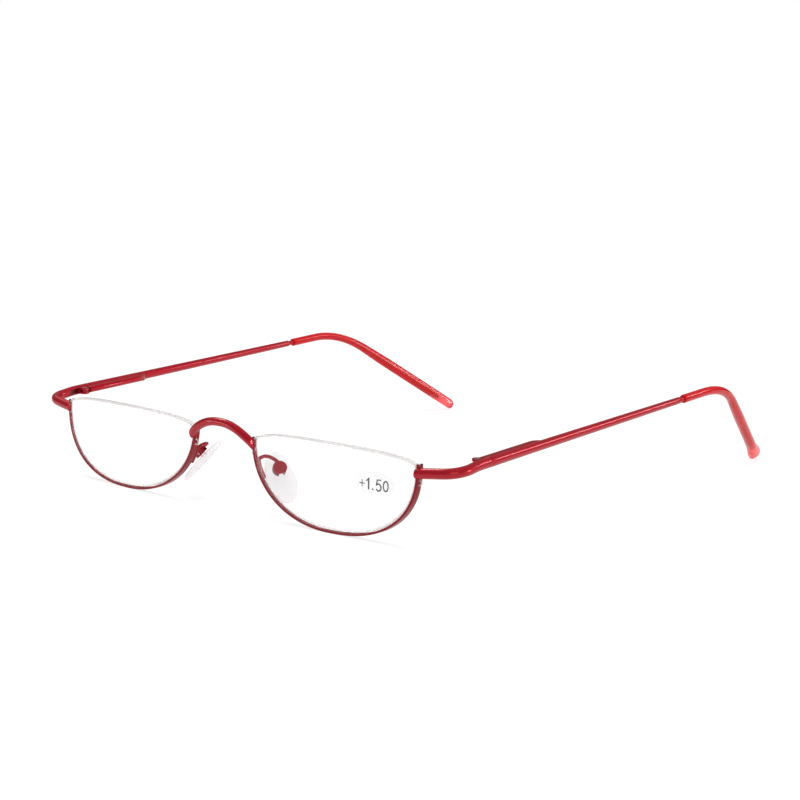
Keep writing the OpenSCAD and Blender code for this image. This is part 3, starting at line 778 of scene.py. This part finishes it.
def rim_mesh():
    """Half rim with its channel, the cord holes and the slot at each end for the cord"""
    h = RIM_T / 2
    c0 = RIM_MID_Y - CHANNEL_W / 2
    c1 = RIM_MID_Y + CHANNEL_W / 2
    f = CHANNEL_DEPTH - h
    rear = [(h, RIM_DEPTH), (-h, RIM_DEPTH), (-h, c1), (f, c1)]
    section = rounded(rear + [(f, c0), (-h, c0), (-h, 0), (h, 0)], RIM_ROUND)
    ends = [outline(0), outline(180)]
    first = [((ends[0][0], ends[0][1] + RIM_END_TEMPLE * k), (1, 0)) for k in (1, 0.5)]
    last = [((ends[1][0], ends[1][1] + RIM_END_NOSE * k), (-1, 0)) for k in (0.5, 1)]
    rings = []
    for p, n in first + outline_run(0, 180, 220) + last:
        rings.append([on_face(shifted(p, n, s[0]), 0) + Vector((0, s[1], 0)) for s in section])
    reach = Vector((2 * RIM_T, 0, 0))
    half = CORD_D / 2 + SLOT_SPARE
    cutters = []
    for x, end in ((RIM_TEMPLE_X, RIM_END_TEMPLE), (RIM_NOSE_X, RIM_END_NOSE)):
        for k in (0, 1):
            at = cord_hole_at(x, k)
            cutters.append(rod_mesh("hole", at - reach, at + reach, CORD_D + 4 * FIT_GAP))
        top = WIDE_Z + end
        y = face_y(x, top) + RIM_MID_Y
        across = (x - RIM_T, x + RIM_T)
        cutters.append(box_mesh("slot", across, (y - half, y + half), (top - SLOT_DEPTH, top + 1)))
    return carved(skin("rim", rings), cutters)


def cord_hole_at(x, k):
    z = WIDE_Z - CORD_HOLE_LOW + k * CORD_HOLE_STEP
    return Vector((x, face_y(x, z) + RIM_MID_Y, z))


def lens_mesh():
    """Lens body with a bulged front, bevels and the groove for cord and liner"""
    run = outline_run(0, 180, 150)[:-1] + outline_run(180, 360, 130)[:-1]

    def ring(inset, depth):
        inset += LENS_INSET
        return [on_face(shifted(p, n, -inset), LENS_FRONT + depth) for p, n in run]

    def inner(edge, f, bulge):
        out = []
        for p in edge:
            q = [c + f * (v - c) for c, v in zip(LENS_MID, (p.x, p.z))]
            depth = p.y - face_y(p.x, p.z) + face_y(*q) - bulge * (1 - f * f)
            out.append(Vector((q[0], depth, q[1])))
        return out

    front = ring(BEVEL, 0)
    rear = ring(BEVEL, LENS_T)
    g0 = (LENS_T - GROOVE_W) / 2
    g1 = (LENS_T + GROOVE_W) / 2
    shares = [0.02] + [0.06 * k for k in range(1, 16)] + [0.95, 0.99]
    rings = [inner(rear, f, 0) for f in shares]
    rings += [rear, ring(0, LENS_T - BEVEL), ring(0, g1), ring(GROOVE_DEPTH, g1)]
    rings += [ring(GROOVE_DEPTH, g0), ring(0, g0), ring(0, BEVEL), front]
    rings += [inner(front, f, LENS_BULGE) for f in reversed(shares)]
    mesh = skin("lens", rings, LENS_SHARP)
    edge_first = len(shares)
    edge_last = edge_first + 7
    mark = mesh.attributes.new("edge_band", "INT", "FACE")
    for poly in mesh.polygons:
        rows = [v // len(run) for v in poly.vertices]
        if min(rows) < edge_first or max(rows) > edge_last:
            continue
        heights = [mesh.vertices[v].co.z for v in poly.vertices]
        if sum(heights) >= MM * len(heights) * WIDE_Z:
            band = UPPER_EDGE
        elif edge_first + 2 <= min(rows) <= edge_last - 3:
            band = LOWER_GROOVE
        else:
            band = LOWER_EDGE
        mark.data[poly.index].value = band
    return mesh


def liner_mesh():
    """Clear strip between the rim's channel and the lens groove"""
    out = RIM_T / 2 - CHANNEL_DEPTH
    far = LENS_INSET + GROOVE_DEPTH - FIT_GAP
    half = GROOVE_W / 2 - FIT_GAP
    corners = [(-out, half), (-far, half), (-far, -half), (-out, -half)]
    section = rounded(corners, LINER_ROUND, 2)
    rings = []
    for p, n in outline_run(0, 180, 220):
        if p[1] < WIDE_Z - CORD_HOLE_LOW - CORD_D:
            rings.append([on_face(shifted(p, n, s[0]), RIM_MID_Y + s[1]) for s in section])
    return skin("liner", rings)


def cord_mesh():
    """Nylon cord in the groove over the lens top, looped through the holes of both rim ends"""
    sink = LENS_INSET + GROOVE_DEPTH - CORD_D / 2 - FIT_GAP
    outer = RIM_T / 2 + CORD_LOOP
    up = Vector((0, 0, CORD_TURN))

    def end(x, way):
        high = cord_hole_at(x, 1)
        low = cord_hole_at(x, 0)
        w = Vector((way, 0, 0))
        entry = (high.x - sink * way, high.z)
        above = on_face((entry[0], entry[1] + 3 * CORD_TURN), RIM_MID_Y)
        mid = (high + low) / 2 + (outer + 0.1) * w
        path = curve3(above, on_face(entry, RIM_MID_Y), high, steps=10)
        path.append(high + RIM_T / 2 * w)
        path += curve3(high + outer * w - up, mid, low + outer * w + up, steps=8)
        return path + [low + RIM_T / 2 * w, low - (RIM_T / 2 + SEAT_GAP) * w]

    over = [on_face(shifted(p, n, -sink), RIM_MID_Y) for p, n in outline_run(180, 360, 120)]
    path = list(reversed(end(RIM_NOSE_X, -1))) + over[3:-3] + end(RIM_TEMPLE_X, 1)
    return tube("cord", eased(resampled(path, step=0.2), times=4), CORD_D, sides=14)


def bridge_mesh():
    """Arched wire, cut flat at both ends and notched to lap over the rims' fronts"""
    half = RIM_NOSE_X + RIM_T / 2 + LAP_OVER
    steps = 90
    path = []
    for i in range(-2, steps + 3):
        u = 2 * i / steps - 1
        y = BRIDGE_END_Y - BRIDGE_REACH * (1 - u ** BRIDGE_SWEEP)
        z = WIDE_Z - BRIDGE_LOW + BRIDGE_ARCH * (1 - abs(u) ** BRIDGE_BOW)
        path.append(Vector((half * u, y, z)))
    notch = face_y(RIM_NOSE_X, WIDE_Z - BRIDGE_LOW) - LAP_GAP
    inner = RIM_NOSE_X - RIM_T / 2
    wide = BRIDGE_D * 2
    cutters = []
    for s in (1, -1):
        beyond = (s * half, s * (half + wide))
        over_rim = (s * inner, s * (inner + wide))
        cutters.append(box_mesh("end", beyond, (-wide, wide), ALL_HEIGHT))
        cutters.append(box_mesh("notch", over_rim, (notch, notch + wide), ALL_HEIGHT))
    return carved(tube("bridge", path, BRIDGE_D, sides=40), cutters, BRIDGE_EDGE)


def end_piece_mesh():
    """Rod from the rim's outer side, bent back round the corner, with the seat of the hinge fork"""
    front = face_y(RIM_TEMPLE_X, WIDE_Z - ROD_LOW)
    start = Vector((RIM_TEMPLE_X, front + ROD_BACK, WIDE_Z - ROD_LOW))
    end = from_hinge((HINGE_OFFSET, JOINT_Y - JOINT_GAP, 0))
    corner = from_hinge((HINGE_OFFSET, -CORNER_BACK, 0)) - Vector((0, 0, CORNER_DIP))
    bend_in = corner + BEND_LEG * (start - corner).normalized()
    bend_out = corner + BEND_LEG * (end - corner).normalized()
    level = from_hinge((HINGE_OFFSET, -EAR_R - LEVEL_BEFORE, 0))
    blend = from_hinge((HINGE_OFFSET, -EAR_R - BLEND_BEFORE, 0))
    over = (start - corner).normalized()
    path = [start + ROD_D * over] + curve3(bend_in, corner, bend_out, steps=30)
    path += curve3(bend_out, blend, level, steps=10)[1:] + [end]
    path = eased(resampled(path, step=0.25), times=6)
    mesh = tube("end_piece", path, ROD_D, sides=40, edge=ROD_EDGE, ends=(False, True))
    rim_out = RIM_TEMPLE_X + RIM_T / 2
    lap = RIM_TEMPLE_X - RIM_T / 2 - LAP_OVER
    wide = ROD_D * 2
    rear = HINGE_OFFSET - ROD_D / 2 + FOOT_SINK + FOOT_T + FIT_GAP
    along = (-EAR_R - FOOT_LEN - FIT_GAP, FIT_GAP)
    high = FOOT_H / 2 + FIT_GAP
    cutters = [
        box_mesh("end", (lap - wide, lap), (front - wide, front + wide), ALL_HEIGHT),
        box_mesh("lap", (rim_out - wide, rim_out), (front - LAP_GAP, front + wide), ALL_HEIGHT),
        box_mesh("seat", (0, rear), along, (-high, high), on_foot),
    ]
    return carved(mesh, cutters, ROD_EDGE)


def on_foot(p):
    """Point of the hinge's frame, turned to lie along the rod in front of the hinge"""
    tilt = Matrix.Rotation(math.atan2(CORNER_DIP, CORNER_BACK), 3, "X")
    return from_hinge(tilt @ Vector(p))


def pad_point(p):
    """Point of the left nose pad's own frame: x out of its back, y across it, z up along it"""
    turn = Matrix.Rotation(math.radians(-PAD_SPLAY), 3, "Z")
    turn = turn @ Matrix.Rotation(math.radians(-PAD_FLARE), 3, "Y")
    turn = turn @ Matrix.Rotation(math.radians(PAD_ROLL), 3, "X")
    return Vector((PAD_OUT, PAD_BACK, WIDE_Z - PAD_LOW)) + turn @ Vector(p)


BOX_FLOOR = PAD_T / 2 + PAD_GAP


def pad_arm_mesh():
    """Wire from the back of the rim, looped back to the pad box"""
    back = RIM_DEPTH + ARM_D / 2
    foot = [on_face(outline(t), back) for t in ARM_FOOT_AT]
    box_top = BOX_UP + PAD_BOX_D / 2 + ARM_D * 0.1
    end = pad_point((BOX_FLOOR + PAD_BOX_H - ARM_D / 2, 0, box_top))
    over_foot = foot[2] + ARM_LEAD_FOOT * (foot[2] - foot[0])
    top = over_foot + Vector(ARM_TOP)
    over_box = top + ARM_LEAD_BOX * (top - over_foot)
    path = [foot[0], foot[1]] + curve3(foot[2], over_foot, top, steps=16)
    path += curve3(top, over_box, end, steps=20)[1:]
    path = eased(resampled(path, step=0.18), times=5)
    return tube("pad_arm", path, ARM_D, sides=20, edge=0.2, ends=(True, False))


def pad_mesh():
    """Soft drop-shaped pad, narrower at its top and full at its edge"""
    rings = []
    rows = 18
    sides = 56
    for i in range(rows + 1):
        a = 90 - 180 * i / rows
        f = max(abs(cosd(a)) ** PAD_FULL, 0.03)
        x = PAD_T / 2 * swell(sind(a), PAD_EDGE_POWER)
        ring = []
        for k in range(sides):
            b = 360 * k / sides
            drop = 1 - PAD_DROP * sind(b)
            ring.append(pad_point((x, PAD_W / 2 * f * cosd(b) * drop, PAD_LEN / 2 * f * sind(b))))
        rings.append(ring)
    return skin("nose_pad", rings)


def pad_lug_mesh():
    """Stud on the pad's back, held by the screw in the pad box"""
    half = LUG_W / 2
    r = PAD_SCREW_D / 2 + LUG_WALL
    far = BOX_FLOOR + LUG_OUT
    side = [(LUG_ROOT, -r)]
    side += [(far + r * cosd(a), r * sind(a)) for a in range(-90, 91, 15)]
    side += [(LUG_ROOT, r)]
    rings = []
    for y in (-half, -half + LUG_EDGE, half - LUG_EDGE, half):
        rings.append([pad_point((x, y, BOX_UP + z)) for x, z in side])
    ends = [pad_point((far, y, BOX_UP)) for y in (-2, 2)]
    return carved(skin("pad_lug", rings), [rod_mesh("hole", *ends, PAD_SCREW_D + 2 * FIT_GAP)])


def temple_mesh():
    """Turned tapered tube with rounded ends and the bore for the core wire"""
    edge = ROD_EDGE
    front = TEMPLE_D_FRONT / 2
    slope = (TEMPLE_D_REAR - TEMPLE_D_FRONT) / 2 / (TEMPLE_LEN - JOINT_Y)
    profile = [(JOINT_Y, 0.3), (JOINT_Y, front - edge)]
    for a in (30, 60, 90):
        profile.append((JOINT_Y + edge * (1 - cosd(a)), front - edge * (1 - sind(a))))
    steps = 40
    for i in range(1, steps):
        y = JOINT_Y + edge + (TEMPLE_LEN - JOINT_Y - 3 * edge) * i / steps
        profile.append((y, front + slope * (y - JOINT_Y)))
    edge = 1.5 * ROD_EDGE
    rear = TEMPLE_D_REAR / 2
    for a in (90, 60, 30, 0):
        profile.append((TEMPLE_LEN - edge * (1 - cosd(a)), rear - edge * (1 - sind(a))))
    bore = CORE_D / 2 + FIT_GAP / 2
    grip = TEMPLE_LEN - CORE_GRIP
    rings = []
    for y, r in profile + [(TEMPLE_LEN, bore), (grip, bore), (grip, 0.05)]:
        round_it = [(r * math.cos(a), r * math.sin(a)) for a in circle(64)]
        rings.append([from_hinge((HINGE_OFFSET + x, y, z)) for x, z in round_it])
    return skin("temple_tube", rings)


def tip_point(s):
    way = Vector((-sind(TIP_LEAN), 0, -cosd(TIP_LEAN)))
    ahead = Vector((0, 1, 0))
    a = min(max(s - TIP_LEAD, 0) / TIP_BEND_R, math.radians(TIP_BEND))
    rest = max(s - TIP_LEAD - BEND_LEN, 0)
    at = Vector((HINGE_OFFSET, MOUTH_Y + min(s, TIP_LEAD), 0))
    at += TIP_BEND_R * (math.sin(a) * ahead + (1 - math.cos(a)) * way)
    return from_hinge(at + rest * (cosd(TIP_BEND) * ahead + sind(TIP_BEND) * way))


def core_mesh():
    """Wire held in the tube's rear end, through the tip up to its solid end"""
    steps = 90
    last = TIP_LEN - TIP_SOLID
    path = [from_hinge((HINGE_OFFSET, TEMPLE_LEN - CORE_GRIP + FIT_GAP, 0))]
    path += [tip_point(last * i / steps) for i in range(steps + 1)]
    return tube("core_wire", path, CORE_D, sides=24, edge=CORE_EDGE)


def tip_section(s):
    """Half widths across the bend and in its plane: round at the mouth, broader to the end"""
    grown = eased_step((s - TIP_LEAD - BEND_LEN / 2) / (0.6 * TIP_TAIL))
    flared = eased_step((s - TIP_LEN + FLARE_LEN) / (FLARE_LEN - FLARE_CAP - TIP_SET_BACK))
    across = TIP_D / 2 + (LEG_ACROSS - TIP_D / 2) * grown + (END_ACROSS - LEG_ACROSS) * flared
    along = TIP_D / 2 + (LEG_ALONG - TIP_D / 2) * grown + (END_ALONG - LEG_ALONG) * flared
    over = (s - TIP_LEN + TIP_SET_BACK + FLARE_CAP) / FLARE_CAP
    if over > 0:
        cap = math.sqrt(max(1 - over * over, 0.0002))
        return cap * across, cap * along
    return across, along


def eased_step(v):
    v = min(max(v, 0.0), 1.0)
    return v * v * (3 - 2 * v)


def tip_mesh(twist):
    """Plastic sleeve: the bore inside, a rounded mouth, and a flared end, twisted on the wire"""
    bore = CORE_D / 2 + FIT_GAP
    mouth = TIP_D / 2 - TIP_EDGE
    steps = 70
    inside = TIP_LEN - TIP_SOLID + 0.3
    inner = [(inside, 0.05), (inside, bore * 0.6)]
    inner += [(inside * (1 - i / steps), bore) for i in range(steps)]
    inner += [(0, bore), (0, mouth)]
    for a in (30, 60, 90):
        inner.append((TIP_EDGE * (1 - cosd(a)), TIP_D / 2 - TIP_EDGE * (1 - sind(a))))
    stations = [(s, (r, r)) for s, r in inner]
    cap_at = TIP_LEN - TIP_SET_BACK - FLARE_CAP
    outer = [cap_at * i / steps for i in range(1, steps + 1)]
    outer += [cap_at + FLARE_CAP * sind(a) for a in range(8, 91, 8)]
    stations += [(s, tip_section(s)) for s in outer]
    rings = []
    for s, r in stations:
        s = max(s, 0)
        way = (tip_point(s + 0.05) - tip_point(max(s - 0.05, 0))).normalized()
        u = from_hinge((cosd(TIP_LEAN), 0, -sind(TIP_LEAN))) - from_hinge((0, 0, 0))
        u = (u - u.dot(way) * way).normalized()
        v = way.cross(u)
        u, v = cosd(twist) * u + sind(twist) * v, cosd(twist) * v - sind(twist) * u
        at = tip_point(s)
        rings.append([at + r[0] * math.cos(a) * u + r[1] * math.sin(a) * v for a in circle(40)])
    return skin("temple_tip", rings)


def build_front():
    pair("rim", rim_mesh(), [RIM_LACQUER_SHADED], "front")
    for obj in pair("lens", lens_mesh(), [LENS, GROUND, BEVEL_FILM, PINK_REFLECTION_FILM], "front"):
        band = obj.data.attributes["edge_band"]
        for poly in obj.data.polygons:
            poly.material_index = band.data[poly.index].value
    pair("liner", liner_mesh(), [LINER], "front")
    pair("cord", cord_mesh(), [NYLON], "front")
    piece("bridge.look", bridge_mesh(), [LACQUER], "front", "bridge")
    pair("end_piece", end_piece_mesh(), [LACQUER], "front")
    pair("pad_arm", pad_arm_mesh(), [PAD_LACQUER_SHADED], "front")


def on_lens(x, z, off):
    """Point just in front of the left lens"""
    way = (x - LENS_MID[0], z - LENS_MID[1])
    far = 1.0
    while far < 60:
        q = (LENS_MID[0] + far * way[0], LENS_MID[1] + far * way[1])
        across = abs(q[0] - EYE_X) / (RIM_W / 2 - LENS_INSET)
        down = abs(q[1] - WIDE_Z) / ((RIM_DROP if q[1] < WIDE_Z else OUTLINE_RISE) - LENS_INSET)
        if across ** TEMPLE_POWER + down ** TEMPLE_POWER > 1:
            break
        far += 0.02
    bulge = LENS_BULGE * (1 - 1 / far ** 2)
    return on_face((x, z), LENS_FRONT - bulge - off)


def build_mark():
    """Oval film with the lens power in plain figures, on the front of the left lens"""
    rings = []
    for off, shares in ((0.04, (0.02, 0.3, 0.6, 0.85, 1.0)), (0.07, (0.995, 0.85, 0.6, 0.3, 0.02))):
        for f in shares:
            ring = []
            for a in circle(64):
                x = MARK_AT[0] + f * MARK_SIZE[0] / 2 * math.cos(a)
                z = MARK_AT[1] + f * MARK_SIZE[1] / 2 * math.sin(a)
                ring.append(on_lens(x, z, off))
            rings.append(ring)
    piece("lens_mark_film", skin("lens_mark_film", rings), [FILM], "front", None)
    verts = []
    faces = []
    for path, width, closed in figure_strokes():
        rings = stroke_rings(path, width, closed)
        base = len(verts)
        verts += [p for ring in rings for p in ring]
        count = len(rings)
        for i in range(count if closed else count - 1):
            here = base + 4 * i
            there = base + 4 * ((i + 1) % count)
            for k in range(4):
                m = (k + 1) % 4
                faces.append((here + k, here + m, there + m, there + k))
        if not closed:
            faces.append(tuple(range(base, base + 4)))
            faces.append(tuple(range(base + 4 * count - 4, base + 4 * count)))
    piece("lens_mark_figures", mesh_of("figures", verts, faces), [INK], "front", None)


def figure_strokes():
    """Strokes in the front view: points, width, and whether the end meets the start"""
    bowl = [(48.62 + 0.66 * cosd(a), 12.58 + 0.78 * sind(a)) for a in range(135, -151, -15)]
    zero = [(50.5 + 0.62 * cosd(a), 13.05 + 1.1 * sind(a)) for a in range(0, 360, 12)]
    return [
        ([(43.45, 13.07), (45.0, 13.07)], SIGN_W, False),
        ([(44.22, 12.3), (44.22, 13.84)], SIGN_W, False),
        ([(45.3, 13.72), (45.75, 13.98), (46.0, 14.4)], FLAG_W, False),
        ([(46.0, 14.42), (46.0, 11.82)], STEM_W, False),
        ([(47.1, 12.18), (47.1, 11.82)], STEM_W, False),
        ([(49.25, 14.25), (48.28, 14.25), (48.05, 12.97)] + bowl, CURVE_W, False),
        (zero, CURVE_W, True),
    ]


def stroke_rings(path, width, closed):
    """Flat stroke of a figure, laid on the lens"""
    rings = []
    n = len(path)
    for i, q in enumerate(path):
        a = path[i - 1] if i or closed else q
        b = path[(i + 1) % n] if i < n - 1 or closed else q
        far = math.dist(a, b)
        across = (-(b[1] - a[1]) / far, (b[0] - a[0]) / far)
        ring = []
        for side, off in ((-1, 0.1), (1, 0.1), (1, 0.13), (-1, 0.13)):
            half = side * width / 2
            ring.append(on_lens(q[0] + half * across[0], q[1] + half * across[1], off))
        rings.append(ring)
    return rings


def build_pads():
    for obj in pair("nose_pad", pad_mesh(), [SILICONE], "pad"):
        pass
    pair("pad_lug", pad_lug_mesh(), [SILICONE], "pad", stands=False)


def build_temples():
    pair("temple_tube", temple_mesh(), [LACQUER], "temple")
    pair("core_wire", core_mesh(), [LACQUER], "temple")
    for side, twist in (("left", 0), ("right", RIGHT_TWIST)):
        node = f"temple_tip_{side}"
        mesh = tip_mesh(twist)
        piece(f"{node}.look", mesh, [RED_PLASTIC], f"temple_{side}", node, side == "right")


def build_springs():
    """Coils between bush and nut"""
    radius = (CHAMBER_D + SLIDE_D) / 4
    near = BUSH_AT + BUSH_LEN + FIT_GAP
    far = SLIDER_LEN - NUT_LEN - FIT_GAP
    steps = 16 * SPRING_TURNS
    path = []
    for i in range(steps + 1):
        a = 2 * math.pi * SPRING_TURNS * i / steps
        y = near + SPRING_WIRE_D / 2 + (far - near - SPRING_WIRE_D) * i / steps
        path.append(from_hinge((radius * math.cos(a), y, radius * math.sin(a))))
    mesh = tube("spring", path, SPRING_WIRE_D, sides=8)
    coils = pair("spring", mesh, [STEEL], "temple")
    for obj, side, out in zip(coils, ("left", "right"), (1, -1)):
        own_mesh(obj)


def dress_nodes():
    """Materials and soft edges for the frame's own solids that stay"""
    groups = (
        (("spring_box", "slider"), LACQUER, NODE_EDGE),
        (("pad_box",), PAD_LACQUER_SHADED, NODE_EDGE),
        (("hinge_fork",), FORK_LACQUER, NODE_EDGE),
        (("pad_screw", "hinge_screw", "slider_nut", "bush"), STEEL, SMALL_EDGE),
    )
    for names, material, edge in groups:
        for node in [f"{name}_{side}" for name in names for side in ("left", "right")]:
            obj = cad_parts[node]
            obj.data.materials.clear()
            obj.data.materials.append(material)
            weld = obj.modifiers.new("weld", "WELD")
            weld.merge_threshold = WELD
            soft = obj.modifiers.new("edge", "BEVEL")
            soft.width = edge
            soft.segments = 2
            soft.limit_method = "ANGLE"
            soft.angle_limit = math.radians(NODE_SHARP)
            soft.harden_normals = True


def add_floor():
    bpy.ops.mesh.primitive_plane_add(size=FLOOR_SIZE, location=(0, 0, 0))
    floor = bpy.context.object
    floor.name = "floor"
    floor.data.materials.append(floor_material())


def add_light(name, way, distance, size, radiance, mirrored):
    """Softbox that faces the object"""
    data = bpy.data.lights.new(name, "AREA")
    data.shape = "RECTANGLE"
    data.size = size[0]
    data.size_y = size[1]
    data.energy = radiance * math.pi * size[0] * size[1]
    obj = bpy.data.objects.new(name, data)
    obj.visible_glossy = mirrored
    bpy.context.scene.collection.objects.link(obj)
    way = Vector(way).normalized()
    obj.location = distance * way
    obj.rotation_mode = "QUATERNION"
    obj.rotation_quaternion = (-way).to_track_quat("-Z", "Y")


def add_world():
    """White where it is seen straight or through the lenses; as light dim, and dimmest low down"""
    world = bpy.data.worlds.new("studio")
    bpy.context.scene.world = world
    tree = Tree(world, "ShaderNodeOutputWorld")
    height = tree.part_of(tree.coord("Generated"), "Z")
    sky = tree.get("ShaderNodeBackground", tree.ramp(height, HORIZON, DOME, 0.2, 0.5))
    white = tree.get("ShaderNodeBackground", (1, 1, 1, 1))
    tree.end(tree.mix(tree.rays("Is Camera Ray", "Is Transmission Ray"), sky, white))


def add_camera():
    data = bpy.data.cameras.new("camera")
    data.sensor_width = SENSOR
    data.lens = FOCAL
    data.clip_start = 0.01
    data.clip_end = 50
    cam = bpy.data.objects.new("camera", data)
    bpy.context.scene.collection.objects.link(cam)
    sa = sind(CAMERA_AZIMUTH)
    ca = cosd(CAMERA_AZIMUTH)
    se = sind(CAMERA_ELEVATION)
    ce = cosd(CAMERA_ELEVATION)
    back = Vector((sa * ce, -ca * ce, se))
    right = Vector((ca, sa, 0))
    up = back.cross(right)
    cr = cosd(CAMERA_ROLL)
    sr = sind(CAMERA_ROLL)
    turn = Matrix((cr * right + sr * up, -sr * right + cr * up, back)).transposed()
    at = MM * (CAMERA_AT - Vector((0, MID_Y, 0)))
    cam.matrix_world = Matrix.Translation(at) @ turn.to_4x4()
    bpy.context.scene.camera = cam


bpy.context.scene.view_settings.view_transform = "Standard"
add_camera()
add_world()
add_floor()
for box_name, settings in SOFTBOXES.items():
    add_light(box_name, *settings)
build_front()
build_pads()
build_temples()
build_springs()
build_mark()
dress_nodes()
